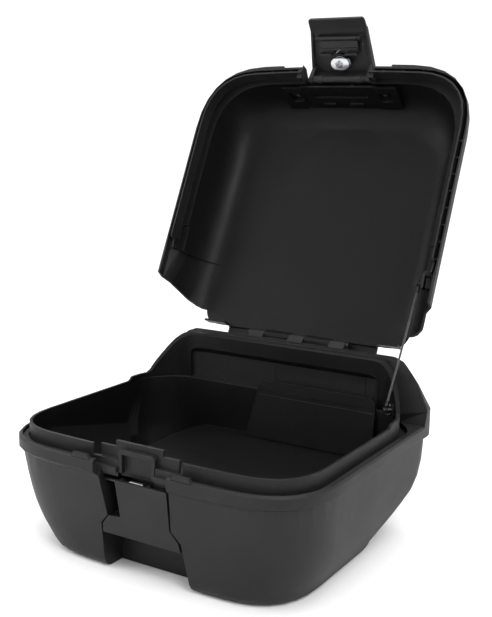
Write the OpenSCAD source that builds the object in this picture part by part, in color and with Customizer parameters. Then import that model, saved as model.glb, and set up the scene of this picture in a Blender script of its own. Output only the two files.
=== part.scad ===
// Hard motorcycle side case, lying on its mounting side with the lid open on its stay cord.
// Millimetres, +Z up, +X to the right of the latch side, +Y from the latch towards the hinge.
// The origin is under the middle of the whole part as it stands, on the face it lies on.

/* [Case] */
// Half width of the case over the outside of the inner lip
lip_half = 190; // [170:0.5:210]
// Length from the latch side of the lip to the hinge side of the lip
lip_len = 309.5; // [280:0.5:340]
// Height of the lip along the front and sides above the resting face
rim_z = 152; // [120:0.5:180]
// Extra height of the rim along the hinge side
back_rise = 60; // [30:0.5:80]
// Thickness of the moulded walls
wall = 3.2; // [2:0.1:5]
// How far the outer band stands out from the lip
band_out = 14; // [8:0.5:20]
// Height of the outer band
band_h = 15; // [8:0.5:25]
// How far each side wall comes in between the rim and the underside
draft = 28; // [10:0.5:45]
// Radius of the edge around the bottom
bottom_r = 11; // [4:0.5:25]
// Height of the raised part of the inside floor above the resting face
platform_z = 88; // [40:1:110]

/* [Lid] */
// Half width over the outside of the lid's rim
lid_half = 200; // [180:0.5:210]
// Lid opening angle in the position shown
lid_open = 115; // [0:1:125]
// Height of the lid above its own rim
lid_h = 78.5; // [50:0.5:100]
// Number of cross ribs along each side of the lid's channel
side_ribs = 8; // [3:1:14]

/* [Latch] */
// Latch flap opening angle in the position shown
flap_open = 43; // [0:1:100]
// Half width of the opening in the band for the latch
notch_half = 48.4; // [40:0.2:60]
// Length of the latch flap below its pin
flap_len = 81; // [50:1:90]
// Diameter of the latch flap's pin
flap_pin_d = 4; // [3:0.1:6]
// Diameter of the claw's pin
claw_pin_d = 3; // [2:0.1:5]
// Diameter of the lock's fixed sleeve
lock_d = 18; // [14:0.5:24]
// Diameter of the lock's turning plug
plug_d = 12; // [8:0.5:16]

/* [Hinge and handle] */
// Diameter of the lid's hinge pin
hinge_pin_d = 4; // [3:0.1:8]
// Outside radius of the hinge knuckles
knuckle_r = 5; // [4:0.1:8]
// Radial running clearance of every pin in its moving bore
pin_gap = 0.08; // [0.02:0.01:0.3]
// Diameter of the handle's pin
handle_pin_d = 4; // [3:0.1:6]
// Diameter of the lid's stay cord
cord_d = 3; // [2:0.1:5]

/* [Hidden] */

black = [0.17, 0.17, 0.18];
dark = [0.10, 0.10, 0.11];
zinc = [0.75, 0.76, 0.78];
steel = [0.60, 0.61, 0.63];
rubber = [0.06, 0.06, 0.06];

// The rim frame has its origin in the middle of the latch side of the lip, at the lip's top.
rim_y = -238.5;
bottom = -rim_z;
arc_n = 7;
axis_y = lip_len + 44.5;
axis_z = back_rise;
flap_y = 0;
flap_z = 6;
flap_low = flap_z - flap_len;
claw_y = -12.5;
claw_z = -47;
lock_z = -14;
handle_y = 6;
handle_z = -38.5;
band_top = -13.3;
band_low = band_top - band_h;
groove_low = -20;
ledge_z = 2.2;
lid_low = -12.5;
lid_top = lid_low + lid_h;
rear_out = 28;
anchor = [164.2, 275.2, 8];
anchor_screw_z = [1.5, 11.3];
hook = [169, 271, 20.4];

function mix(a, b, t) = a * (1 - t) + b * t;
function unit2(v) = v / norm(v);

// One rounded corner as a curve of arc_n steps; cut is the distance taken off each side, and
// share the most of a side that it may take.
function corner(p, a, b, cut, share = 0.49) =
    let (s = p + unit2(a - p) * min(cut, norm(a - p) * share),
         e = p + unit2(b - p) * min(cut, norm(b - p) * share))
    [for (i = [0 : arc_n])
        let (t = i / arc_n)
        s * (1 - t) * (1 - t) + p * 2 * t * (1 - t) + e * t * t];

// The plan outline: bowed front, rounded front corners, tapered and rounded rear corners.
function plan_pts(h, yf, yb, rf, rb, tx, ty) =
    let (c = [[h * 0.3, yf + 1], [h, yf + 6], [h, yb - ty], [h - tx, yb],
              [tx - h, yb], [-h, yb - ty], [-h, yf + 6], [-h * 0.3, yf + 1]],
         cut = [h * 0.22, rf, rb, rb, rb, rb, rf, h * 0.22],
         share = [0.36, 0.63, 0.49, 0.49, 0.49, 0.49, 0.63, 0.36])
    [for (i = [0 : 7])
        each corner(c[i], c[(i + 7) % 8], c[(i + 1) % 8], cut[i], share[i])];

// Outline of the lip moved outwards by o.
function lip_plan(o) = plan_pts(lip_half + o, -o, lip_len + o, 69 + o, 22, 35, 41);

module prism(pts, z0, z1) {
    translate([0, 0, z0])
        linear_extrude(z1 - z0)
            polygon(pts);
}

// A solid through a stack of outlines with the same number of points.
module loft(rings, zs) {
    n = len(rings[0]);
    m = len(rings);
    pts = [for (k = [0 : m - 1]) for (p = rings[k]) [p[0], p[1], zs[k]]];
    sides = [for (k = [0 : m - 2]) for (i = [0 : n - 1])
        each [[k * n + i, (k + 1) * n + i, (k + 1) * n + (i + 1) % n],
              [k * n + i, (k + 1) * n + (i + 1) % n, k * n + (i + 1) % n]]];
    polyhedron(points = pts,
               faces = concat(sides, [[for (i = [0 : n - 1]) i]],
                              [[for (i = [n - 1 : -1 : 0]) (m - 1) * n + i]]),
               convexity = 6);
}

// A plate drawn in the YZ plane and run along X from x0 to x1.
module yz_plate(pts, x0, x1) {
    translate([x0, 0, 0])
        rotate([90, 0, 90])
            linear_extrude(x1 - x0)
                polygon(pts);
}

// A plate drawn in the XZ plane and run along Y from y0 to y1.
module xz_plate(pts, y0, y1) {
    translate([0, y1, 0])
        rotate([90, 0, 0])
            linear_extrude(y1 - y0)
                polygon(pts);
}

module box(x0, x1, y0, y1, z0, z1) {
    translate([x0, y0, z0])
        cube([x1 - x0, y1 - y0, z1 - z0]);
}

module rod_x(x0, x1, y, z, d) {
    translate([x0, y, z])
        rotate([0, 90, 0])
            cylinder(d = d, h = x1 - x0, $fn = 48);
}

module rod_y(x, y0, y1, z, d) {
    translate([x, y1, z])
        rotate([90, 0, 0])
            cylinder(d = d, h = y1 - y0, $fn = 48);
}

module place() {
    translate([0, rim_y, rim_z])
        children();
}

module on_lid() {
    place()
        translate([0, axis_y, axis_z])
            rotate([-lid_open, 0, 0])
                translate([0, -axis_y, -axis_z])
                    children();
}

module on_flap() {
    on_lid()
        translate([0, flap_y, flap_z])
            rotate([-flap_open, 0, 0])
                translate([0, -flap_y, -flap_z])
                    children();
}

module both_sides() {
    children();
    mirror([1, 0, 0])
        children();
}

// Half width, front and back of the outer wall at height z in the rim frame.
// The sides drop almost straight, then curve in towards the underside.
function inward(z) = lookup(z, [[bottom + bottom_r, 0.92], [-131, 0.7], [-122, 0.52],
                                [-113, 0.38], [-104, 0.27], [-94, 0.17], [-80, 0.09],
                                [-60, 0.03], [band_low, 0]]);
function out_half(z) = lip_half + 8 - inward(z) * draft;
function out_front(z) = -7.5 - (z - band_low) * 0.21;
// How far the rear corners are taken off at height z, from 0 to 1.
function corner_cut(z) = lookup(z, [[-135, 1], [-122, 0.85], [-108, 0.5], [-95, 0.18],
                                    [-80, 0.05], [-60, 0]]);
function out_back(z) = lip_len + rear_out + (z - band_low) * 0.10;
function out_plan(z, o) = plan_pts(out_half(z) + o, out_front(z) - o, out_back(z) + o, 78 + o,
                                   16 + 14 * corner_cut(z), 10 + 44 * corner_cut(z),
                                   13 + 70 * corner_cut(z));

module outer_body() {
    z1 = bottom + bottom_r;
    low = [bottom, bottom + 0.15 * bottom_r, bottom + 0.5 * bottom_r, z1];
    zs = concat(low, [-131, -122, -113, -104, -94, -80, -60, band_low + 0.01]);
    ins = concat([-bottom_r * 0.95, -bottom_r * 0.55, -bottom_r * 0.18], [for (k = [3 : 11]) 0]);
    loft([for (k = [0 : 11]) out_plan(zs[k], ins[k])], zs);
}

module band_ring() {
    bevel = 2.5;
    zs = [band_low - 4, band_low, band_low + 1.5, band_top - bevel, band_top];
    os = [8, 12.5, band_out, band_out, band_out - 2];
    loft([for (k = [0 : 4])
             plan_pts(lip_half + os[k], -os[k], lip_len + rear_out, 90, 14, 9, 12)], zs);
}

// The raised outer corner and deck on the hinge side.
module rear_tower() {
    intersection() {
        loft([for (s = [[204, 0], [204, 0], [199, 0], [187, -0.5], [168, -1], [158, -2]])
                 plan_pts(s[0], 0, lip_len + rear_out + s[1], 40, 14, 9, 12)],
             [band_low, 4, 12, 32, 56, 61]);
        yz_plate([[305, band_low - 1], [305, lid_low], [333.5, 58], [333.5, 70], [345, 70],
                  [345, band_low - 1]], -210, 210);
    }
    intersection() {
        prism(lip_plan(0), band_low, 57);
        box(-210, 210, 262, 345, band_low - 1, 70);
    }
    prism([[-150, lip_len - 4], [150, lip_len - 4], [138, 335], [-138, 335]], band_low, 57);
}

module lip_solid() {
    prism(lip_plan(0), groove_low - 4, back_rise);
}

// The space above the rim line, seen from the side.
module above_rim() {
    yz_plate([[-40, 0], [229.4, 0], [233, 1.5], [236, 4.5], [239, 5], [266, 5], [271, 8],
              [300, 50], [306, 58], [309, back_rise + 0.01], [400, back_rise + 0.01], [400, 200],
              [-40, 200]], -240, 240);
}

function recess_plan(h, yb) =
    let (c = [[-h, 280], [h, 280], [h, yb], [-h, yb]])
    [for (i = [0 : 3]) each corner(c[i], c[(i + 3) % 4], c[(i + 1) % 4], i < 2 ? 2 : 16)];

module cavity() {
    zs = [bottom + wall, bottom + wall + 3, bottom + wall + 12, -122, -104, -80, -60, -24, -2];
    hs = [-16, -8, -wall, -wall, -wall, -wall, -wall, 0, 0];
    r = [for (k = [0 : 8])
        (k < 7)
            ? plan_pts(out_half(zs[k]) + hs[k] - 1, out_front(zs[k]) - hs[k] + 4,
                       min(292 + (zs[k] - bottom) * 0.08, 303), 70, 24, 38,
                       44 + 10 * corner_cut(zs[k]))
            : plan_pts(lip_half - wall, wall, 300 - (k == 7 ? 1 : 0), 66, 22, 35, 36)];
    loft(r, zs);
    prism(lip_plan(-wall), -2.01, back_rise + 5);
    // Set-back upper part of the rear wall above the inside ledge.
    loft([recess_plan(139, 318), recess_plan(140, 318), recess_plan(138, 305)], [-2, 32, 41]);
    for (x = [-12, 118])
        box(x - 0.4, x + 0.4, 317.9, 318.6, 1, 31);
}

// What stands inside the cavity: the raised floor over the carrier space and the hand space.
module platform_solid(grow) {
    g = grow;
    loft([plan_pts(146 + g, 96 - g, 330 + g, 34, 30, 40, 40),
          plan_pts(142 + g, 102 - g, 330 + g, 34, 30, 40, 40),
          plan_pts(134 + g, 112 - g, 330 + g, 34, 30, 40, 40),
          plan_pts(118 + g, 128 - g, 330 + g, 34, 30, 40, 40)],
         [bottom - 1 + g, platform_z - rim_z - 26, platform_z - rim_z - 8 + g / 2,
          platform_z - rim_z + (g < 0 ? g : 0)]);
}

hand_pts = [[-58.5, bottom - 1], [58.5, bottom - 1], [53.5, -92], [42.5, -80], [47, -31],
            [-47, -31], [-42.5, -80], [-53.5, -92]];

module hand_space(grow, y1) {
    xz_plate([for (p = hand_pts) [p[0] + sign(p[0]) * grow, p[1] + (p[1] > -40 ? grow : 0)]],
             -30, y1);
}

module inside_space() {
    difference() {
        cavity();
        platform_solid(0);
        hand_space(wall, 50 + wall);
        // Boxed-in space for the claw slot above the handle.
        box(-notch_half - wall, notch_half + wall, -40, 9.8, -33, 12);
    }
}

module groove() {
    difference() {
        prism(lip_plan(7.4), groove_low, 80);
        prism(lip_plan(0), groove_low - 1, 81);
        box(-148, 148, 300, 330, -60, 90);
    }
}

module carrier_space() {
    difference() {
        intersection() {
            platform_solid(-wall);
            prism(plan_pts(146, 90, 293.5, 34, 24, 40, 44), bottom - 2, 10);
        }
        box(-200, 200, 293.5, 340, -160, 10);
    }
    // Open towards the resting face.
    prism(plan_pts(140, 103, 293, 34, 24, 30, 30), bottom - 1, bottom + 30);
}

// Cored-out space between the inside wall and the outer wall on the hinge side.
module rear_cores() {
    upper = [[330, -30], [331, -8], [331, 52], [321.5, 52], [321.5, -5], [310.5, -7],
             [304.5, -27]];
    side = concat([[297, bottom - 1], [307, bottom - 1], [307, bottom + 2], [320, bottom + 14]],
                  upper, [[303.5, -60]]);
    for (c = [[-96, -50], [-44, 44], [50, 96]])
        yz_plate(side, c[0], c[1]);
    both_sides()
        yz_plate(concat([[303.5, -90], [323, -90]], upper), 95.9, 140);
}

// Stand-offs that hold the carrier plate clear of the raised floor.
plate_z = platform_z - rim_z - wall - 8;
screw_xy = [for (x = [-70, 70]) for (y = [170, 262]) [x, y]];

module plate_bosses() {
    for (p = screw_xy)
        translate([p[0], p[1], plate_z])
            cylinder(d = 13, h = 12, $fn = 48);
}

module hinge_knuckle(x0, x1, arm) {
    hull() {
        rod_x(x0, x1, axis_y, axis_z, 2 * knuckle_r);
        box(x0, x1, arm[0], arm[1], arm[2], arm[3]);
    }
}

base_knuckles = [[-72, -50], [-11, 11], [50, 72]];
lid_knuckles = [[-49.4, -11.6], [11.6, 49.4]];

// Relief that lets the stay cord pass the edge of the raised corner.
module cord_relief() {
    v = swing(hook) - anchor;
    translate(anchor)
        rotate([0, acos(v[2] / norm(v)), atan2(v[1], v[0])])
            translate([0, 0, 14])
                cylinder(d = cord_d + 1.6, h = 50, $fn = 32);
}

module base_shell() {
    color(black)
        place()
            difference() {
                union() {
                    difference() {
                        union() {
                            outer_body();
                            band_ring();
                        }
                        inside_space();
                        difference() {
                            prism(lip_plan(band_out + 5), groove_low, 30);
                            prism(lip_plan(7.4), groove_low - 1, 31);
                            translate([0, 0, -0.01])
                                band_ring();
                        }
                    }
                    difference() {
                        union() {
                            lip_solid();
                            rear_tower();
                        }
                        inside_space();
                        above_rim();
                    }
                    for (k = base_knuckles)
                        hinge_knuckle(k[0], k[1], [334, 336, 40, 50]);
                    // Set-back blocks beside the striker, with the ledge under them.
                    both_sides()
                        box(24.6, notch_half, -3, 7, -26, -12.5);
                    box(-46, 46, 6.4, 9.8, -31, 0);
                    box(-31, 31, 6.4, 9.8, -2, 7);
                    // Alignment tabs on the band.
                    both_sides()
                        translate([66, 0, 0])
                            xz_plate([[-13, -14], [13, -14], [10, -9], [-8, -9]], -12.4, -8.6);
                    // Bearings for the handle's pin.
                    both_sides()
                        box(44, 47.5, handle_y - 4.4, handle_y + 7.5, -43, -30);
                }
                groove();
                // The latch opening: band, groove floor and lip are cut back.
                box(-notch_half, notch_half, -30, -3, -31, 20);
                box(-24.6, 24.6, -30, 6.4, -31, 20);
                box(-59, 59, -6, 6.4, -12.5, 20);
                box(-46, 46, -6, 1, -31, -26);
                hand_space(0, 50);
                both_sides()
                    rod_x(35, 46.91, handle_y, handle_z, handle_pin_d);
                difference() {
                    carrier_space();
                    plate_bosses();
                }
                rear_cores();
                at_corner()
                    for (z = anchor_screw_z)
                        rod_x(-2.6, 1, -5.5, z, 3.2);
                cord_relief();
                for (k = base_knuckles)
                    rod_x(k[0] - 1, k[1] + 1, axis_y, axis_z, hinge_pin_d);
                for (p = screw_xy)
                    translate([p[0], p[1], plate_z - 1])
                        cylinder(d = 4.2, h = 9.6, $fn = 32);
            }
}

module rim_seal() {
    color(rubber)
        place()
            difference() {
                prism(lip_plan(6), groove_low, groove_low + 3);
                prism(lip_plan(1.2), groove_low - 1, groove_low + 4);
                box(-62, 62, -30, 30, -30, 0);
                box(-220, 220, 255, 400, -30, 0);
            }
}

module striker() {
    color(black)
        place()
            difference() {
                union() {
                    xz_plate([[-24, -26], [24, -26], [24, -3.5], [20.5, 0], [-20.5, 0], [-24, -3.5]],
                             0.6, 6.4);
                    // Back plate that closes part of the opening.
                    box(-9, 20, 5, 6.4, -26, -4);
                }
                difference() {
                    box(-19.5, 19.5, 0, 8, -27, -5.5);
                    box(-9, 20, 5, 6.4, -26, -4);
                }
            }
}

panel_top = -33;
panel_low = -103;
function face_y(z) = out_front(z) + 0.6;

module release_handle() {
    color(black)
        place()
            difference() {
                union() {
                    intersection() {
                        yz_plate([[face_y(panel_top), panel_top], [face_y(panel_low), panel_low],
                                  [face_y(panel_low) + 3.5, panel_low + 1],
                                  [face_y(panel_top) + 3.5, panel_top]], -60, 60);
                        xz_plate([[-52, panel_low - 1], [52, panel_low - 1], [50.5, -92], [41, -79],
                                  [43.5, panel_top + 1], [-24, panel_top + 1], [-24, -78],
                                  [-41, -80], [-50.5, -92]], -20, 40);
                    }
                    // Stiffening web and returned edges behind the face.
                    box(-22, -18, face_y(-60) + 5, face_y(-60) + 14, -84, -50);
                    box(36, 40, face_y(-60) + 5, face_y(-60) + 14, -76, -50);
                    yz_plate([[face_y(-99) + 4, -101], [face_y(-99) + 13, -99],
                              [face_y(-99) + 13, -96], [face_y(-99) + 3, -96]], -48, 48);
                    // Pivot lugs.
                    for (x = [-24, 12, 31])
                        hull() {
                            rod_x(x, x + 4, handle_y, handle_z, 8);
                            box(x, x + 4, face_y(-50) + 2, face_y(-50) + 4, -52, -40);
                        }
                }
                rod_x(-30, 40, handle_y, handle_z, handle_pin_d + 2 * pin_gap);
            }
}

module handle_pin() {
    color(steel)
        place()
            rod_x(-46.9, 46.9, handle_y, handle_z, handle_pin_d);
}

module coil(x0, x1, y, z, d_in, wire) {
    turns = floor((x1 - x0) / (wire + 0.05));
    for (i = [0 : turns - 1])
        translate([x0 + (i + 0.5) * (x1 - x0) / turns, y, z])
            rotate([0, 90, 0])
                rotate_extrude($fn = 48)
                    translate([d_in / 2 + wire / 2, 0])
                        circle(d = (x1 - x0) / turns + 0.02, $fn = 24);
}

module handle_spring() {
    color(steel)
        place() {
            coil(-12, 6, handle_y, handle_z, handle_pin_d + 1, 1.2);
            rod_y(-11.4, handle_y, 16, handle_z - 3.2, 1.1);
            translate([5.4, handle_y - 3.1, handle_z - 8])
                cylinder(d = 1.1, h = 8, $fn = 24);
        }
}

module pocket_panel() {
    lean = 12;
    color(dark)
        place()
            translate([0, 289, platform_z - rim_z])
                rotate([-lean * 0.72, 0, 0])
                    difference() {
                        union() {
                            difference() {
                                xz_plate([[-38, 0.6], [143, 0.6], [141.5, 70], [135.5, 77],
                                          [-18, 77], [-25, 70]], -3, 0);
                                box(-60, 160, -3.1, -1.8, 58, 64);
                            }
                            for (x = [22, 104])
                                box(x, x + 6, -0.1, 1.2, 4, 56);
                        }
                    }
}

module mount_plate() {
    color(steel)
        place()
            difference() {
                box(-92, 92, 152, 280, plate_z - 2.4, plate_z);
                for (p = screw_xy)
                    translate([p[0], p[1], plate_z - 5])
                        cylinder(d = 4.2, h = 10, $fn = 32);
                for (x = [-40, 40])
                    translate([x, 216, plate_z - 5]) {
                        cylinder(d = 16, h = 10, $fn = 48);
                        translate([-4.5, 0, 0])
                            cube([9, 22, 10]);
                    }
            }
}

module mount_screws() {
    color(steel)
        place()
            for (p = screw_xy)
                translate([p[0], p[1], plate_z - 2.4]) {
                    difference() {
                        translate([0, 0, -2.6])
                            cylinder(d = 8.5, h = 2.6, $fn = 48);
                        translate([0, 0, -2.7])
                            cylinder(d = 4, h = 1.8, $fn = 6);
                    }
                    translate([0, 0, -0.5])
                        cylinder(d = 4.2, h = 11, $fn = 32);
                }
}

module hinge_pin() {
    color(steel)
        place()
            rod_x(-73.5, 73.5, axis_y, axis_z, hinge_pin_d);
}

module hinge_caps() {
    color(black)
        place()
            both_sides()
                difference() {
                    rod_x(72.2, 76, axis_y, axis_z, 8);
                    rod_x(70, 73.5, axis_y, axis_z, hinge_pin_d);
                }
}

// The cord's fixed end in the rim frame and its lid end with the lid open.
function swing(p) =
    let (a = -lid_open, y = p[1] - axis_y, z = p[2] - axis_z)
    [p[0], axis_y + y * cos(a) - z * sin(a), axis_z + y * sin(a) + z * cos(a)];

// An eye at each end turns on a round post.
module cord_eye() {
    difference() {
        translate([-1.1, 0, 0])
            rotate([0, 90, 0])
                cylinder(d = 6.4, h = 2.2, $fn = 48);
        translate([-2, 0, 0])
            rotate([0, 90, 0])
                cylinder(d = 3.1, h = 4, $fn = 48);
    }
}

module stay_cord() {
    b = swing(hook);
    v = b - anchor;
    l = norm(v);
    color(rubber)
        place() {
            translate(anchor)
                rotate([0, acos(v[2] / l), atan2(v[1], v[0])]) {
                    translate([0, 0, 2.4])
                        cylinder(d = cord_d, h = l - 4.8, $fn = 32);
                    translate([0, 0, 4.6])
                        cylinder(d = cord_d + 2, h = 7, $fn = 32);
                    translate([0, 0, l - 11.6])
                        cylinder(d = cord_d + 2, h = 7, $fn = 32);
                }
            translate(anchor)
                rotate([0, 0, 180 + atan2(35, 41)])
                    cord_eye();
            translate(b)
                cord_eye();
        }
}

// Local +X points inwards from the tapered corner's inside wall at the anchor.
module at_corner() {
    translate([172.3, 282.1, 0])
        rotate([0, 0, 180 + atan2(35, 41)])
            children();
}

module cord_anchor() {
    color(dark)
        place()
            at_corner()
                difference() {
                    union() {
                        box(0.05, 3, -9, 3.2, -1.7, 15);
                        rod_x(2.9, 8.2, 0, anchor[2], 5);
                        rod_x(8.1, 12.4, 0, anchor[2], 3);
                        rod_x(12.3, 13.7, 0, anchor[2], 7);
                    }
                    for (z = anchor_screw_z)
                        rod_x(-1, 4, -5.5, z, 3.2);
                }
}

module cord_hook() {
    color(dark)
        on_lid()
            difference() {
                union() {
                    box(172.6, 175.35, 255, 277, 17.2, 26.4);
                    rod_x(170.4, 172.7, hook[1], hook[2], 5);
                    rod_x(166, 167.4, hook[1], hook[2], 7);
                    rod_x(167.3, 170.5, hook[1], hook[2], 3);
                }
                rod_x(170, 177, 259, 24, 3.2);
                rod_x(170, 177, 265.5, 24.6, 3.2);
            }
}

module screw_x(x, y, z, dir) {
    translate([x, y, z])
        rotate([0, 90 * dir, 0]) {
            cylinder(d = 3.2, h = 5.6, $fn = 32);
            translate([0, 0, -2])
                difference() {
                    cylinder(d = 6, h = 2, $fn = 32);
                    translate([0, 0, -0.1])
                        cylinder(d = 2.6, h = 1.4, $fn = 6);
                }
        }
}

module anchor_screws() {
    color(steel)
        place()
            at_corner() {
                for (z = anchor_screw_z)
                    screw_x(3, -5.5, z, -1);
            }
}

module hook_screws() {
    color(steel)
        on_lid() {
            screw_x(172.6, 259, 24, 1);
            screw_x(172.6, 265.5, 24.6, 1);
        }
}

// Lid outlines, closed, in the rim frame: h is the half width, o how far the front is set in.
function lid_plan(h, o, back, rf) =
    plan_pts(h, lid_low - 1 + o, back, rf, 18, 12, 17);

module lid_outer() {
    loft([lid_plan(200, 0, 350, 92), lid_plan(199.5, 0.5, 350, 92), lid_plan(191, 9, 350, 86),
          lid_plan(184, 17, 350, 82), lid_plan(178, 26, 350, 78), lid_plan(169, 37, 350, 72),
          lid_plan(158, 49, 349, 66), lid_plan(145, 62, 348, 60)],
         [lid_low, lid_low + 10, 8, 26, 42, 54, 62, lid_top]);
}

module lid_cavity() {
    loft([lid_plan(180.6, 19.4, 346, 76), lid_plan(177, 23, 346, 74), lid_plan(172, 29, 346, 71),
          lid_plan(165, 37, 346, 67), lid_plan(155, 48, 346, 61), lid_plan(141, 62, 346, 55)],
         [ledge_z - 1, 22, 38, 50, 58.6, lid_top - wall]);
}

module lid_inner_skin() {
    loft([lid_plan(197, 3, 346, 89), lid_plan(196.5, 3.5, 346, 89), lid_plan(188, 12, 346, 83),
          lid_plan(181, 20, 346, 79), lid_plan(175, 29, 346, 75), lid_plan(165, 41, 346, 69),
          lid_plan(155, 52, 346, 63), lid_plan(141, 62, 346, 55)],
         [lid_low - 2, lid_low + 10, 8, 26, 42, 54, 60, lid_top - wall]);
}

// The lid keeps what lies ahead of this side profile; the raised case corner has the rest.
module lid_side_cut() {
    yz_plate([[302.5, -30], [302.5, lid_low + 1], [331, 58.8], [331, 62.6], [400, 62.6],
              [400, -30]], -240, 240);
}

module channel_space() {
    difference() {
        loft([lip_plan(8), lip_plan(7.6), lip_plan(1)], [lid_low - 6, -4, 5]);
        loft([lip_plan(3.2), lip_plan(3.2), lip_plan(-2)], [lid_low - 7, 3, 9]);
        box(-240, 240, 263, 400, -30, 40);
        box(-54, 54, -40, 20, -30, 40);
    }
}

module channel_ribs() {
    for (s = [-1, 1]) {
        for (i = [0 : side_ribs - 1])
            box(s > 0 ? 192.6 : -199, s > 0 ? 199 : -192.6,
                92 + i * 22, 93.2 + i * 22, lid_low + 1.5, 6);
        for (x = [70, 98, 126])
            box(s * x - 0.6, s * x + 0.6, -12, 0, lid_low + 1.5, 6);
    }
}

module lid_shell() {
    color(black)
        on_lid()
            difference() {
                union() {
                    difference() {
                        union() {
                            lid_outer();
                            // Inner wall that dips into the case's groove.
                            difference() {
                                prism(lip_plan(3.2), -15, -6);
                                box(-240, 240, 248, 400, -30, 40);
                            }
                        }
                        lid_cavity();
                        difference() {
                            prism(lip_plan(1.2), -16, ledge_z);
                            box(-240, 240, 263, 400, -30, 40);
                        }
                        // Room for the lip where it steps up.
                        intersection() {
                            prism(lip_plan(1.2), -16, 6);
                            box(-240, 240, 226, 263, -30, 40);
                        }
                        // The wall beside that step ends higher, to swing clear of the lip.
                        intersection() {
                            prism(lip_plan(3.3), -16, -7);
                            box(-240, 240, 250, 263.1, -30, 40);
                        }
                        // Behind the channel the corners are one thin skin, clear of the raised rim.
                        difference() {
                            lid_inner_skin();
                            box(-240, 240, -60, 262.9, -30, 80);
                            box(175.4, 200, 262, 276, 18, 34);
                        }
                        channel_space();
                        lid_side_cut();
                    }
                    intersection() {
                        channel_ribs();
                        lid_outer();
                    }
                    // Bearing blocks for the flap's pin beside the notch.
                    both_sides()
                        intersection() {
                            box(50, 57, -14, 6.1, lid_low + 1, 14);
                            lid_outer();
                        }
                    for (k = lid_knuckles)
                        hinge_knuckle(k[0], k[1], [344, 352, 66, 68]);
                    // Hinge tongue over the knuckles, and the rear skirt on both sides of it.
                    yz_plate([[334, 63], [334, 66.4], [338, 68.6], [361, 68.6], [361, 65.8],
                              [350, 65.8], [349, 63]], -113, 113);
                    both_sides()
                        box(113, 146, 345.2, 348, 50, 64);
                }
                // Notch for the flap and its pin, and reliefs for the case's alignment tabs.
                box(-50, 50, -30, 12, -30, 13.5);
                both_sides()
                    box(51, 81, -15, -8, -14, -8);
                for (k = base_knuckles)
                    rod_x(k[0] - 0.6, k[1] + 0.6, axis_y, axis_z, 2 * knuckle_r + 1.6);
                rod_x(174, 179, 259, 24, 3.2);
                rod_x(174, 179, 265.5, 24.6, 3.2);
                both_sides()
                    rod_x(49, 56, flap_y, flap_z, flap_pin_d);
                for (k = lid_knuckles)
                    rod_x(k[0] - 0.1, k[1] + 0.1, axis_y, axis_z, hinge_pin_d + 2 * pin_gap);
                both_sides()
                    rod_y(66, 4.9, 12, 20, 3);
            }
}

housing_side = [[10.4, 4], [13, 3], [22, 30], [25, 42], [20.5, 42], [15.5, 34], [10.4, 14]];

module latch_housing() {
    color(dark)
        on_lid()
            difference() {
                union() {
                    difference() {
                        union() {
                            yz_plate(housing_side, -57, 57);
                            // Beyond the screws it follows the lid's bowed front wall.
                            both_sides()
                                translate([0, 1.5, 0])
                                    yz_plate(housing_side, 56.5, 86);
                        }
                        both_sides()
                            xz_plate([[55, 12.5], [80, 12.5], [75, 27.5], [59, 27.5]], 15.5, 30);
                        box(-40, 40, 17.2, 26, 14, 22);
                    }
                    for (x = [-30, 12])
                        box(x, x + 18, 19, 24.5, 31, 34);
                }
                both_sides()
                    rod_y(66, 5, 30, 20, 3);
            }
}

module housing_screws() {
    color(steel)
        on_lid()
            both_sides() {
                difference() {
                    rod_y(66, 15.5, 17.5, 20, 6);
                    translate([66, 18, 20])
                        rotate([90, 0, 0])
                            cylinder(d = 2.6, h = 1.8, $fn = 6);
                }
                rod_y(66, 4.9, 16, 20, 3);
            }
}

module latch_flap() {
    t = 2.6;
    color(black)
        on_flap()
            difference() {
                union() {
                    intersection() {
                        yz_plate([[-20, 9.5], [-20, -38], [-19.2, -50], [-17, -61],
                                  [-13.4, flap_low], [-10.8, flap_low + 1.2], [-14.4, -59.6],
                                  [-16.6, -49.6], [-20 + t, -38], [-20 + t, 9.5]], -50, 50);
                        xz_plate([[-46, 9.5], [46, 9.5], [43.5, -20], [41.5, flap_low + 5],
                                  [40.5, flap_low + 1.6], [38, flap_low], [-38, flap_low],
                                  [-40.5, flap_low + 1.6], [-41.5, flap_low + 5],
                                  [-43.5, -20]], -30, 0);
                    }
                    // Cheeks and the lower return.
                    both_sides() {
                        hull() {
                            box(43.2, 46, -20, -12, -8, -1.5);
                            box(38.8, 41.6, -20, -15, -60, -58);
                        }
                    }
                    box(-37, 37, -12, -8.6, flap_low + 0.4, flap_low + 2.6);
                    // Arms to the pin.
                    both_sides()
                        hull() {
                            rod_x(40, 45.5, flap_y, flap_z, 10);
                            box(40, 45.5, -20, -14, -8, -1.5);
                        }
                    // Lugs for the claw's pin.
                    both_sides()
                        hull() {
                            rod_x(28.2, 33, claw_y, claw_z, 7);
                            box(28.2, 33, -18, -17.5, claw_z - 4, claw_z + 4);
                        }
                    // Boss around the lock.
                    rod_y(0, -19, -11, lock_z, lock_d + 5);
                }
                both_sides()
                    rod_x(39, 46.5, flap_y, flap_z, flap_pin_d + 2 * pin_gap);
                both_sides()
                    rod_x(27, 32, claw_y, claw_z, claw_pin_d);
                rod_y(0, -22, -10, lock_z, lock_d);
            }
}

module flap_pin() {
    color(steel)
        on_lid()
            rod_x(-56, 56, flap_y, flap_z, flap_pin_d);
}

module flap_spring() {
    color(steel)
        on_lid() {
            coil(18, 34, flap_y, flap_z, flap_pin_d + 0.8, 1.1);
            rod_y(18.7, flap_y, 7.6, flap_z + 3.0, 1);
        }
}

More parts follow.
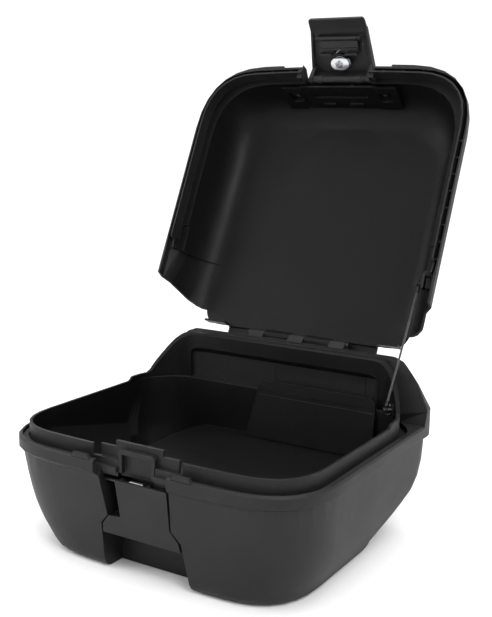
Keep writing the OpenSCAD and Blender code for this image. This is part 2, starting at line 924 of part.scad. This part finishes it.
module latch_claw() {
    color(dark)
        on_flap()
            difference() {
                union() {
                    rod_x(-27.6, 27.6, claw_y, claw_z, 7);
                    box(-27.6, 27.6, -14.2, -11.4, -45, -25.5);
                    box(-27.6, 27.6, -14.2, -9.6, -34, -31.4);
                    both_sides()
                        box(10, 27.6, -14.2, -4.5, -28.4, -25.5);
                }
                rod_x(-28, 28, claw_y, claw_z, claw_pin_d + 2 * pin_gap);
                box(-8, 8, -18, -2, -31, -20);
            }
}

module claw_pin() {
    color(steel)
        on_flap()
            rod_x(-32, 32, claw_y, claw_z, claw_pin_d);
}

module claw_spring() {
    color(steel)
        on_flap() {
            rod_y(34.6, -17.3, -12, -38, 1);
            translate([34.6, -12.4, -50])
                cylinder(d = 1, h = 28, $fn = 24);
        }
}

module lock_sleeve() {
    color(dark)
        on_flap()
            difference() {
                union() {
                    rod_y(0, -20.6, -10, lock_z, lock_d);
                    rod_y(0, -21.6, -20.4, lock_z, lock_d + 3);
                }
                rod_y(0, -22, -9, lock_z, plug_d + 2 * pin_gap);
            }
}

module lock_plug() {
    color(zinc)
        on_flap()
            difference() {
                union() {
                    rod_y(0, -21.4, -7, lock_z, plug_d);
                    box(-2.5, 2.5, -7.2, -3.6, lock_z - 2.5, lock_z + 2.5);
                }
                box(-1, 1, -22, -14, lock_z - 4, lock_z + 4);
                rod_y(0, -6, -2, lock_z, 2.5);
            }
}

module lock_cam() {
    color(zinc)
        on_flap()
            difference() {
                hull() {
                    rod_y(-5, -6.9, -3.7, lock_z, 15);
                    rod_y(7, -6.9, -3.7, lock_z, 11);
                }
                box(-2.6, 2.6, -8, -3, lock_z - 2.6, lock_z + 2.6);
            }
}

module cam_screw() {
    color(steel)
        on_flap() {
            difference() {
                rod_y(0, -3.6, -2.2, lock_z, 7);
                translate([0, -1.9, lock_z])
                    rotate([90, 0, 0])
                        cylinder(d = 3, h = 1.2, $fn = 6);
            }
            rod_y(0, -6, -3.5, lock_z, 2.5);
        }
}

base_shell();
rim_seal();
striker();
release_handle();
handle_pin();
handle_spring();
pocket_panel();
mount_plate();
mount_screws();
hinge_pin();
hinge_caps();
stay_cord();
cord_anchor();
anchor_screws();
cord_hook();
hook_screws();
lid_shell();
latch_housing();
housing_screws();
latch_flap();
flap_pin();
flap_spring();
latch_claw();
claw_pin();
claw_spring();
lock_sleeve();
lock_plug();
lock_cam();
cam_screw();
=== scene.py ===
import math

import bpy
from mathutils import Matrix, Vector


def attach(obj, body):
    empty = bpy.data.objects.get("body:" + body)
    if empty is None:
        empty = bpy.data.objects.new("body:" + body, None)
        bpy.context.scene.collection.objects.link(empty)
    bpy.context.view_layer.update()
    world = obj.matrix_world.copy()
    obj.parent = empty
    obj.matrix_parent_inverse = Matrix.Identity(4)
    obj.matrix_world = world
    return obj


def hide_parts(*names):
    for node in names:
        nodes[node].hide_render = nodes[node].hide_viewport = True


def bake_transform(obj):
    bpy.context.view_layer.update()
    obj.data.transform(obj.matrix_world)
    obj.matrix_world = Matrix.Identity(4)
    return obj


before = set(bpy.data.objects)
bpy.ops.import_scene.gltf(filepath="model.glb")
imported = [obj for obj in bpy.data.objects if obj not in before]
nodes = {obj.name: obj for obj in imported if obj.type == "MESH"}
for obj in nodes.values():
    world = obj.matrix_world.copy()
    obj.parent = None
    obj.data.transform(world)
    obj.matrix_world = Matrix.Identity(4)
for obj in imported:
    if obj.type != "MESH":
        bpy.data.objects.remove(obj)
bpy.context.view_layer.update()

# ---------------------------------------------------------------- the design's own frames
RIM = Vector((0.0, -0.2385, 0.152))        # middle of the latch side of the lip, at its top
HINGE = Vector((0.0, 0.354, 0.060))        # lid hinge, from RIM
OPEN = math.radians(-115)
FLAP = Vector((0.0, 0.0, 0.006))           # flap pin, from RIM with the lid closed
FLAP_OPEN = math.radians(-43)
CORD_ANCHOR = Vector((0.1642, 0.2752, 0.008))   # stay cord's lower eye, from RIM
CORD_HOOK = Vector((0.169, 0.271, 0.0204))      # its upper eye, from RIM with the lid closed
CORD_GAP = 0.0024                               # from an eye's centre to the cord's end
STRAND_OFF, STRAND_R = 0.00068, 0.00080         # a strand's distance from the centreline, its radius
STRAND_PITCH = 0.0095                           # length of one twist
LOCK_Z = -0.014                                 # lock's axis, from RIM with the lid closed
WIRE_R = 0.00055                                # wire of the cam's return spring


def lid_matrix():
    """Takes a point of the closed lid, measured from RIM, to where it is with the lid open."""
    return (Matrix.Translation(RIM + HINGE) @ Matrix.Rotation(OPEN, 4, "X")
            @ Matrix.Translation(-HINGE))


def flap_matrix():
    return (lid_matrix() @ Matrix.Translation(FLAP) @ Matrix.Rotation(FLAP_OPEN, 4, "X")
            @ Matrix.Translation(-FLAP))


BASE_M = Matrix.Translation(RIM)
LID_M = lid_matrix()
FLAP_M = flap_matrix()

# ---------------------------------------------------------------- camera
cam_data = bpy.data.cameras.new("camera")
cam = bpy.data.objects.new("camera", cam_data)
bpy.context.scene.collection.objects.link(cam)
bpy.context.scene.camera = cam
CAM_AT = Vector((0.618147, -1.038958, 0.499689))
YAW, PITCH, ROLL = -0.545, 0.187, 0.018
forward = Vector((math.sin(YAW) * math.cos(PITCH), math.cos(YAW) * math.cos(PITCH), -math.sin(PITCH)))
right = Vector((math.cos(YAW), -math.sin(YAW), 0.0))
up = right.cross(forward)
turn = Matrix((right, up, -forward)).transposed()
cam.matrix_world = (Matrix.Translation(CAM_AT) @ turn.to_4x4() @ Matrix.Rotation(ROLL, 4, "Z"))
SENSOR = 36.0                              # mm, the height of the frame on the sensor
FOCAL, IMAGE_HEIGHT = 997.707, 617.0       # focal length and frame height in one unit
cam_data.sensor_fit = "VERTICAL"
cam_data.sensor_height = SENSOR
cam_data.lens = SENSOR * FOCAL / IMAGE_HEIGHT
cam_data.clip_start = 0.01
cam_data.clip_end = 50.0

bpy.context.scene.view_settings.view_transform = "Standard"


# ---------------------------------------------------------------- materials
class Tree:
    """Short calls for building a material's nodes."""

    def __init__(self, name):
        self.mat = bpy.data.materials.new(name)
        self.mat.use_nodes = True
        self.t = self.mat.node_tree
        self.t.nodes.clear()
        self.out = self.t.nodes.new("ShaderNodeOutputMaterial")
        self.bsdf = self.t.nodes.new("ShaderNodeBsdfPrincipled")
        self.link(self.bsdf.outputs[0], self.out.inputs[0])
        self.coord = self.t.nodes.new("ShaderNodeTexCoord").outputs["Object"]

    def link(self, a, b):
        self.t.links.new(a, b)

    def noise(self, scale, detail=3.0, rough=0.5, vector=None):
        n = self.t.nodes.new("ShaderNodeTexNoise")
        n.inputs["Scale"].default_value = scale
        n.inputs["Detail"].default_value = detail
        n.inputs["Roughness"].default_value = rough
        self.link(vector or self.coord, n.inputs["Vector"])
        return n.outputs["Fac"]

    def voronoi(self, scale):
        n = self.t.nodes.new("ShaderNodeTexVoronoi")
        n.feature = "F1"
        n.inputs["Scale"].default_value = scale
        self.link(self.coord, n.inputs["Vector"])
        return n.outputs["Distance"]

    def ramp(self, fac, lo, hi, a=0.0, b=1.0):
        n = self.t.nodes.new("ShaderNodeMapRange")
        n.inputs["From Min"].default_value = lo
        n.inputs["From Max"].default_value = hi
        n.inputs["To Min"].default_value = a
        n.inputs["To Max"].default_value = b
        self.link(fac, n.inputs["Value"])
        return n.outputs["Result"]

    def math(self, op, a, b):
        n = self.t.nodes.new("ShaderNodeMath")
        n.operation = op
        for i, v in enumerate((a, b)):
            if isinstance(v, (int, float)):
                n.inputs[i].default_value = v
            else:
                self.link(v, n.inputs[i])
        return n.outputs[0]

    def mix(self, fac, a, b):
        n = self.t.nodes.new("ShaderNodeMix")
        n.data_type = "RGBA"
        self.link(fac, n.inputs["Factor"])
        for key, v in (("A", a), ("B", b)):
            socket = [s for s in n.inputs if s.name == key and s.type == "RGBA"][0]
            if isinstance(v, tuple):
                socket.default_value = (*v, 1.0)
            else:
                self.link(v, socket)
        return [s for s in n.outputs if s.type == "RGBA"][0]

    def edge(self, radius):
        """(rounded normal, how much of an edge this point is)"""
        bevel = self.t.nodes.new("ShaderNodeBevel")
        bevel.samples = 6
        bevel.inputs["Radius"].default_value = radius
        geo = self.t.nodes.new("ShaderNodeNewGeometry")
        dot = self.t.nodes.new("ShaderNodeVectorMath")
        dot.operation = "DOT_PRODUCT"
        self.link(bevel.outputs[0], dot.inputs[0])
        self.link(geo.outputs["Normal"], dot.inputs[1])
        return bevel.outputs[0], self.ramp(dot.outputs["Value"], 0.995, 0.90)

    def bump(self, height, strength, distance, normal=None):
        n = self.t.nodes.new("ShaderNodeBump")
        n.inputs["Strength"].default_value = strength
        n.inputs["Distance"].default_value = distance
        self.link(height, n.inputs["Height"])
        if normal is not None:
            self.link(normal, n.inputs["Normal"])
        return n.outputs[0]


def plastic(name, dark, light, rough, grain, depth, edge_wear_and_highlight, spec, edge_r=0.0006):
    """Moulded plastic: fine grain, cloudy colour and roughness, edges painted paler, partly as rubbed
    wear and partly as a painted edge highlight.
    """
    m = Tree(name)
    normal, rim = m.edge(edge_r)
    cloud = m.noise(26.0, 4.0, 0.6)
    fine = m.noise(1.0 / grain, 2.0, 0.6)
    speck = m.voronoi(0.55 / grain)
    col = m.mix(m.ramp(cloud, 0.3, 0.7), dark, light)
    # Edges painted paler: partly rubbed wear, partly a painted edge highlight.
    scuff_and_edge_highlight = m.math("MULTIPLY", rim, m.ramp(m.noise(140.0, 5.0, 0.7), 0.35, 0.7))
    col = m.mix(m.math("MULTIPLY", scuff_and_edge_highlight, 0.55), col, edge_wear_and_highlight)
    m.link(col, m.bsdf.inputs["Base Color"])
    r = m.ramp(m.noise(9.0, 5.0, 0.65), 0.3, 0.7, rough - 0.045, rough + 0.045)
    r = m.math("ADD", r, m.ramp(fine, 0.3, 0.7, -0.03, 0.03))
    r = m.math("SUBTRACT", r, m.math("MULTIPLY", scuff_and_edge_highlight, 0.07))
    m.link(r, m.bsdf.inputs["Roughness"])
    height = m.math("ADD", fine, m.math("MULTIPLY", speck, 0.5))
    m.link(m.bump(height, 0.5, depth, normal), m.bsdf.inputs["Normal"])
    m.bsdf.inputs["Specular IOR Level"].default_value = spec
    return m.mat


def metal(name, dark, light, rough, grain, edge_r=0.0003):
    m = Tree(name)
    normal, rim = m.edge(edge_r)
    cloud = m.noise(320.0, 4.0, 0.6)
    fine = m.noise(1.0 / grain, 3.0, 0.6)
    col = m.mix(m.ramp(cloud, 0.3, 0.7), dark, light)
    # Edges painted pale: a painted edge glint.
    col = m.mix(m.math("MULTIPLY", rim, 0.5), col, (0.85, 0.85, 0.86))
    m.link(col, m.bsdf.inputs["Base Color"])
    m.link(m.ramp(fine, 0.25, 0.75, rough - 0.1, rough + 0.1), m.bsdf.inputs["Roughness"])
    m.link(m.bump(fine, 0.4, 0.00004, normal), m.bsdf.inputs["Normal"])
    m.bsdf.inputs["Metallic"].default_value = 1.0
    return m.mat


def rubber(name, dark, light):
    m = Tree(name)
    fine = m.noise(2600.0, 2.0, 0.6)
    m.link(m.mix(m.ramp(m.noise(60.0, 4.0), 0.3, 0.7), dark, light), m.bsdf.inputs["Base Color"])
    m.link(m.ramp(m.noise(90.0, 4.0), 0.3, 0.7, 0.62, 0.8), m.bsdf.inputs["Roughness"])
    m.link(m.bump(fine, 0.5, 0.00005), m.bsdf.inputs["Normal"])
    return m.mat


def yarn(name, dark, light):
    """Fine fibres of a twisted cord."""
    m = Tree(name)
    fine = m.noise(5200.0, 3.0, 0.7)
    m.link(m.mix(m.ramp(fine, 0.35, 0.7), dark, light), m.bsdf.inputs["Base Color"])
    m.link(m.ramp(m.noise(900.0, 3.0), 0.3, 0.7, 0.45, 0.65), m.bsdf.inputs["Roughness"])
    m.link(m.bump(fine, 0.6, 0.00006), m.bsdf.inputs["Normal"])
    m.bsdf.inputs["Sheen Weight"].default_value = 0.25
    return m.mat


# Each plastic's third colour paints its edges: partly rubbed wear, partly a painted edge highlight.
OUTER = plastic("plastic_outside", (0.0064, 0.0064, 0.0070), (0.0096, 0.0096, 0.0106),
                rough=0.50, grain=0.00045, depth=0.00006, edge_wear_and_highlight=(0.040, 0.040, 0.043), spec=0.22)
# Inner faces: smoother satin plastic, its colour darkened as painted shade inside the case and lid.
INNER_SATIN_SHADED = plastic("plastic_inside_satin_painted_shade", (0.0022, 0.0022, 0.0024), (0.0032, 0.0032, 0.0035),
                rough=0.46, grain=0.0006, depth=0.00002, edge_wear_and_highlight=(0.026, 0.026, 0.028), spec=0.13)
TRIM = plastic("plastic_trim", (0.0040, 0.0040, 0.0044), (0.0064, 0.0064, 0.0070),
               rough=0.40, grain=0.0004, depth=0.00003, edge_wear_and_highlight=(0.05, 0.05, 0.054), spec=0.28,
               edge_r=0.0004)
# Pocket panel and latch housing: colour darkened as painted shade for their recessed places; edge colour
# very pale as a painted highlight.
HOUSING_PAINTED_SHADE = plastic("plastic_housing_painted_shade", (0.0012, 0.0012, 0.0013), (0.0022, 0.0022, 0.0024),
                 rough=0.48, grain=0.0004, depth=0.00003, edge_wear_and_highlight=(0.06, 0.06, 0.064), spec=0.14,
                 edge_r=0.0004)
STEEL = metal("zinc_plated_steel", (0.35, 0.36, 0.38), (0.52, 0.52, 0.53), 0.34, 0.00025)
ZINC = metal("cast_zinc", (0.42, 0.43, 0.45), (0.66, 0.66, 0.68), 0.30, 0.0003)
SCREW = metal("bright_wire", (0.20, 0.21, 0.23), (0.36, 0.37, 0.39), 0.30, 0.0002)
DARK_STEEL = metal("blackened_steel", (0.030, 0.030, 0.032), (0.060, 0.060, 0.064), 0.42, 0.00025)
SEAL = rubber("seal_rubber", (0.004, 0.004, 0.004), (0.008, 0.008, 0.008))
YARN = yarn("cord_yarn", (0.006, 0.006, 0.0065), (0.030, 0.030, 0.032))


# ---------------------------------------------------------------- CAD nodes
def soften(obj, angle=24.0):
    """Joins the CAD faces' borders so that shallow facets shade as one curve."""
    for p in obj.data.polygons:
        p.use_smooth = True
    weld = obj.modifiers.new("weld", "WELD")
    weld.merge_threshold = 0.000004
    split = obj.modifiers.new("split", "EDGE_SPLIT")
    split.split_angle = math.radians(angle)
    split.use_edge_sharp = False
    even = obj.modifiers.new("even", "WEIGHTED_NORMAL")
    even.keep_sharp = True
    even.weight = 50


def dress(name, *mats):
    obj = nodes[name]
    obj.data.materials.clear()
    for m in mats:
        obj.data.materials.append(m)
    soften(obj)
    return obj


def inside_faces(name, closed, centre, belongs):
    """Gives the second material to the faces that look towards centre and that belong inside."""
    obj = nodes[name]
    back = closed.inverted()
    for p in obj.data.polygons:
        c = back @ p.center
        n = (back.to_3x3() @ p.normal).normalized()
        if n.dot(centre - c) > 0.0 and belongs(c):
            p.material_index = 1


def base_inside(c):
    return c.z > -0.16 and abs(c.x) < 0.189 and 0.0005 < c.y < 0.309 and not (
        abs(c.x) < 0.060 and c.y < 0.052 and c.z < -0.004)


def lid_inside(c):
    return c.z > 0.0015


# Inward faces of the case and lid take the inner material, darkened as painted shade.
dress("base_shell", OUTER, INNER_SATIN_SHADED)
inside_faces("base_shell", BASE_M, Vector((0, 0.16, -0.02)), base_inside)
dress("lid_shell", OUTER, INNER_SATIN_SHADED)
inside_faces("lid_shell", LID_M, Vector((0, 0.17, 0.0)), lid_inside)
for name in ("striker", "release_handle", "latch_flap"):
    dress(name, OUTER)
for name in ("latch_claw", "hinge_caps", "cord_anchor", "cord_hook", "lock_sleeve"):
    dress(name, TRIM)
# Recessed pieces take the housing material, darkened as painted shade.
for name in ("pocket_panel", "latch_housing"):
    dress(name, HOUSING_PAINTED_SHADE)
for name in ("handle_spring", "mount_screws", "cam_screw"):
    dress(name, STEEL)
for name in ("claw_spring", "flap_spring", "handle_pin", "mount_plate", "hinge_pin", "anchor_screws",
             "hook_screws", "claw_pin", "flap_pin", "housing_screws"):
    dress(name, DARK_STEEL)
for name in ("lock_plug", "lock_cam"):
    dress(name, ZINC)
dress("rim_seal", SEAL)
dress("stay_cord", YARN)


# ---------------------------------------------------------------- made pieces
def mesh_piece(name, verts, faces, mat, body, smooth=True):
    me = bpy.data.meshes.new(name)
    me.from_pydata([tuple(v) for v in verts], [], faces)
    me.update()
    obj = bpy.data.objects.new(name, me)
    bpy.context.scene.collection.objects.link(obj)
    me.materials.append(mat)
    for p in me.polygons:
        p.use_smooth = smooth
    if body:
        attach(obj, body)
    return obj


def ring_faces(rings, sides, loop=False):
    """Quads between neighbouring rings of vertices; loop also joins the last ring to the first."""
    faces = []
    for i in range(rings if loop else rings - 1):
        j = (i + 1) % rings
        for k in range(sides):
            q = (k + 1) % sides
            faces.append((i * sides + k, i * sides + q, j * sides + q, j * sides + k))
    return faces


def end_faces(rings, sides):
    """The two faces that close the first and the last ring."""
    return [tuple(range(sides - 1, -1, -1)), tuple(range((rings - 1) * sides, rings * sides))]


def add_part(verts, faces, part):
    """Adds another (vertices, faces) to a mesh that is being put together."""
    n = len(verts)
    verts += part[0]
    faces += [tuple(k + n for k in q) for q in part[1]]


def tube(path, radius, sides, closed_ends=True):
    """Vertices and faces of a tube along path; radius may be one number or one per point."""
    pts = [Vector(p) for p in path]
    rad = radius if hasattr(radius, "__len__") else [radius] * len(pts)
    verts = []
    frame_n = None
    for i, p in enumerate(pts):
        t = (pts[min(i + 1, len(pts) - 1)] - pts[max(i - 1, 0)]).normalized()
        if frame_n is None:
            frame_n = t.orthogonal().normalized()
        frame_n = (frame_n - t * frame_n.dot(t)).normalized()
        b = t.cross(frame_n)
        for k in range(sides):
            a = 2 * math.pi * k / sides
            verts.append(p + (frame_n * math.cos(a) + b * math.sin(a)) * rad[i])
    faces = ring_faces(len(pts), sides)
    if closed_ends:
        faces += end_faces(len(pts), sides)
    return verts, faces


def eye_end(name, centre, axis, along, body):
    """A cord's end: an eye round a post, and the sleeve that closes it on the cord."""
    ring, minor = 0.00238, 0.00080
    axis = axis.normalized()
    u = axis.orthogonal().normalized()
    v = axis.cross(u)
    loop = [centre + (u * math.cos(a) + v * math.sin(a)) * ring
            for a in (2 * math.pi * i / 40 for i in range(41))]
    verts, faces = tube(loop, minor, 12, closed_ends=False)
    # The sleeve: how far along the cord each ring lies, and its radius.
    sleeve = [(0.0030, 0.0016), (0.0044, 0.0019), (0.0050, 0.0025), (0.0058, 0.0025), (0.0062, 0.0022),
              (0.0098, 0.0022), (0.0102, 0.0025), (0.0110, 0.0025), (0.0116, 0.0018)]
    add_part(verts, faces, tube([centre + along * d for d, _ in sleeve], [rad for _, rad in sleeve], 24))
    obj = mesh_piece(name, verts, faces, TRIM, body)


def stay_cord():
    """Three strands twisted together, from the case's corner to the lid's side."""
    a = BASE_M @ CORD_ANCHOR
    b = LID_M @ CORD_HOOK
    along = (b - a).normalized()
    start, end = a + along * CORD_GAP, b - along * CORD_GAP
    length = (end - start).length
    side = along.orthogonal().normalized()
    other = along.cross(side)
    verts, faces = [], []
    steps = 150
    for s in range(3):
        path = []
        for i in range(steps + 1):
            t = i / steps
            ang = 2 * math.pi * (t * length / STRAND_PITCH + s / 3)
            path.append(start + along * length * t
                        + (side * math.cos(ang) + other * math.sin(ang)) * STRAND_OFF)
        add_part(verts, faces, tube(path, STRAND_R, 8))
    obj = mesh_piece("stay_cord_twisted", verts, faces, YARN, None)
    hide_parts("stay_cord")
    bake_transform(obj)
    eye_end("stay_cord_eye_case", a, Vector((-0.760, -0.649, 0.0)), along, "case")
    eye_end("stay_cord_eye_lid", b, Vector((1.0, 0.0, 0.0)), -along, "lid")


stay_cord()


# ---------------------------------------------------------------- latch details
def outline_plate(points, y0, y1, bevel, matrix):
    """Faces of a plate drawn in XZ (metres) between y0 and y1, its front edge (y1) bevelled."""
    verts = []
    n = len(points)
    cx = sum(q[0] for q in points) / n
    cz = sum(q[1] for q in points) / n
    levels = [(y0, 0.0), (y1 - bevel, 0.0), (y1 - 0.3 * bevel, 0.3 * bevel), (y1, bevel)]
    for y, inset in levels:
        for x, z in points:
            d = math.hypot(x - cx, z - cz)
            k = (d - inset) / d
            verts.append(matrix @ Vector((cx + (x - cx) * k, y, cz + (z - cz) * k)))
    return verts, ring_faces(len(levels), n) + end_faces(len(levels), n)


def cut_out(obj, cutters):
    """Takes the cutters out of obj's mesh and removes them."""
    for c in cutters:
        mod = obj.modifiers.new("cut", "BOOLEAN")
        mod.operation = "DIFFERENCE"
        mod.solver = "EXACT"
        mod.object = c
    bpy.context.view_layer.update()
    deps = bpy.context.evaluated_depsgraph_get()
    me = bpy.data.meshes.new_from_object(obj.evaluated_get(deps))
    obj.modifiers.clear()
    obj.data = me
    for c in cutters:
        bpy.data.objects.remove(c)


def lock_cam():
    """Cam with straight sides and round ends, a little off the lock's axis."""
    half, end_r, off = 0.0058, 0.0078, 0.0012
    oval = []
    for i in range(64):
        a = 2 * math.pi * (i + 0.5) / 64
        side = half if math.cos(a) > 0.0 else -half
        oval.append((off + side + end_r * math.cos(a), LOCK_Z + end_r * math.sin(a)))
    v, f = outline_plate(oval[::-1], -0.0069, -0.0040, 0.0006, FLAP_M)
    cam_piece = mesh_piece("lock_cam_oval", v, f, ZINC, "lock")
    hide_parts("lock_cam")


def cam_screw_head():
    """Domed head on a washer, with a cross recess cut into it."""
    # Radius and depth of each ring, from the washer to the crown.
    profile = [(0.0054, -0.0042), (0.0054, -0.0035), (0.0050, -0.0034), (0.0050, -0.0030),
               (0.0047, -0.0024), (0.0038, -0.0019), (0.0022, -0.0016), (0.0006, -0.0015)]
    verts, n = [], 40
    for rad, y in profile:
        for k in range(n):
            a = 2 * math.pi * k / n
            verts.append(FLAP_M @ Vector((rad * math.cos(a), y, LOCK_Z - rad * math.sin(a))))
    faces = ring_faces(len(profile), n) + end_faces(len(profile), n)
    head = mesh_piece("cam_screw_cross_head", verts, faces, SCREW, None)
    cutters = []
    for turn in (0.5, 0.5 + math.pi / 2):
        c, d = math.cos(turn), math.sin(turn)
        pts = [(c * u - d * w, LOCK_Z + d * u + c * w) for u, w in
               ((-0.0030, -0.0006), (0.0030, -0.0006), (0.0030, 0.0006), (-0.0030, 0.0006))]
        v, f = outline_plate(pts[::-1], -0.0031, -0.0005, 0.00001, FLAP_M)
        cutters.append(mesh_piece("cutter", v, f, SCREW, None, smooth=False))
    cut_out(head, cutters)
    for q in head.data.polygons:
        q.use_smooth = True
    split = head.modifiers.new("split", "EDGE_SPLIT")
    split.split_angle = math.radians(30.0)
    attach(head, "lock")
    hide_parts("cam_screw")


def cam_return_wire():
    """Coil behind the cam, and its two legs."""
    path = []
    turns, steps, coil_r, first = 2.6, 110, 0.0090, 1.9
    for i in range(steps + 1):
        a = 2 * math.pi * turns * i / steps + first
        path.append(FLAP_M @ Vector((coil_r * math.cos(a), -0.0100 + 0.0022 * i / steps,
                                     LOCK_Z - coil_r * math.sin(a))))
    legs = [[(-0.0062, -0.0080, LOCK_Z - 0.0128), (-0.0028, -0.0079, LOCK_Z - 0.0152),
             (0.0006, -0.0077, LOCK_Z - 0.0178), (0.0026, -0.0074, LOCK_Z - 0.0186)],
            [(0.0128, -0.0076, LOCK_Z - 0.0072), (0.0152, -0.0066, LOCK_Z - 0.0040),
             (0.0162, -0.0060, LOCK_Z + 0.0002), (0.0148, -0.0058, LOCK_Z + 0.0034)]]
    verts, faces = tube(path, WIRE_R, 8)
    for leg in legs:
        add_part(verts, faces, tube([FLAP_M @ Vector(q) for q in leg], WIRE_R, 8))
    wire = mesh_piece("cam_return_wire", verts, faces, SCREW, "flap")


def flap_barrel():
    """Hinge barrel of the flap, round its pin and spring, with a rib to the flap's plate."""
    verts, n = [], 40
    # Distance along the pin and radius of each ring, from near the middle to one end.
    half = [(0.0240, 0.0049), (0.0243, 0.0059), (0.0327, 0.0059), (0.0330, 0.0049), (0.0388, 0.0049),
            (0.0394, 0.0046), (0.0394, 0.0039)]
    rings = [(-x, rad) for x, rad in half[::-1]] + half
    for x, rad in rings:
        for k in range(n):
            a = 2 * math.pi * k / n
            verts.append(FLAP_M @ (FLAP + Vector((x, rad * math.cos(a), rad * math.sin(a)))))
    faces = ring_faces(len(rings), n, loop=True)
    rib = [(-0.0178, 0.0), (-0.0178, 0.0036), (-0.0120, 0.0052), (-0.0045, 0.0072), (-0.0042, 0.0050),
           (-0.0110, 0.0028)]
    ends = [FLAP_M @ Vector((x, y, z)) for x in (-0.0388, 0.0388) for y, z in rib]
    add_part(verts, faces, (ends, ring_faces(2, len(rib)) + end_faces(2, len(rib))))
    piece = mesh_piece("latch_flap_barrel", verts, faces, OUTER, "flap")
    split = piece.modifiers.new("split", "EDGE_SPLIT")
    split.split_angle = math.radians(35.0)


lock_cam()
cam_screw_head()
cam_return_wire()
flap_barrel()


# ---------------------------------------------------------------- stage and light
def backdrop():
    """Round pale floor that curves up into a wall."""
    flat, bend, height, drop = 2.6, 1.2, 4.0, 0.0002
    verts, cols = [], 48
    profile = [(flat * i / 8, 0.0) for i in range(9)]
    for i in range(1, 13):
        a = math.pi / 2 * i / 12
        profile.append((flat + bend * math.sin(a), bend * (1 - math.cos(a))))
    profile.append((3.8, height))
    for r, z in profile:
        for k in range(cols):
            a = 2 * math.pi * k / cols
            verts.append((r * math.cos(a), r * math.sin(a), z - drop))
    me = bpy.data.meshes.new("floor")
    me.from_pydata(verts, [], ring_faces(len(profile), cols))
    obj = bpy.data.objects.new("floor", me)
    bpy.context.scene.collection.objects.link(obj)
    for p in me.polygons:
        p.use_smooth = True
    m = Tree("pale_floor")
    m.link(m.mix(m.noise(3.0), (0.86, 0.86, 0.86), (0.90, 0.90, 0.90)), m.bsdf.inputs["Base Color"])
    m.bsdf.inputs["Roughness"].default_value = 0.9
    m.bsdf.inputs["Specular IOR Level"].default_value = 0.1
    me.materials.append(m.mat)


backdrop()
world = bpy.data.worlds.new("studio")
bpy.context.scene.world = world
world.use_nodes = True
sky = world.node_tree.nodes["Background"]
sky.inputs["Color"].default_value = (1.0, 1.0, 1.0, 1.0)
sky.inputs["Strength"].default_value = 1.1


AIM = Vector((0.0, 0.0, 0.25))      # the point that every lamp faces


def softbox(name, at, size, power):
    data = bpy.data.lights.new(name, "AREA")
    data.shape = "RECTANGLE"
    data.size, data.size_y = size
    data.energy = power
    obj = bpy.data.objects.new(name, data)
    bpy.context.scene.collection.objects.link(obj)
    at = Vector(at)
    obj.matrix_world = (Matrix.Translation(at)
                        @ (AIM - at).to_track_quat("-Z", "Y").to_matrix().to_4x4())


softbox("key_light", (1.6, -1.3, 2.0), (1.2, 1.2), 40.0)
softbox("fill_light", (-1.9, -1.4, 1.3), (1.6, 1.2), 22.0)
softbox("top_light", (0.0, 0.2, 2.6), (2.2, 2.2), 40.0)
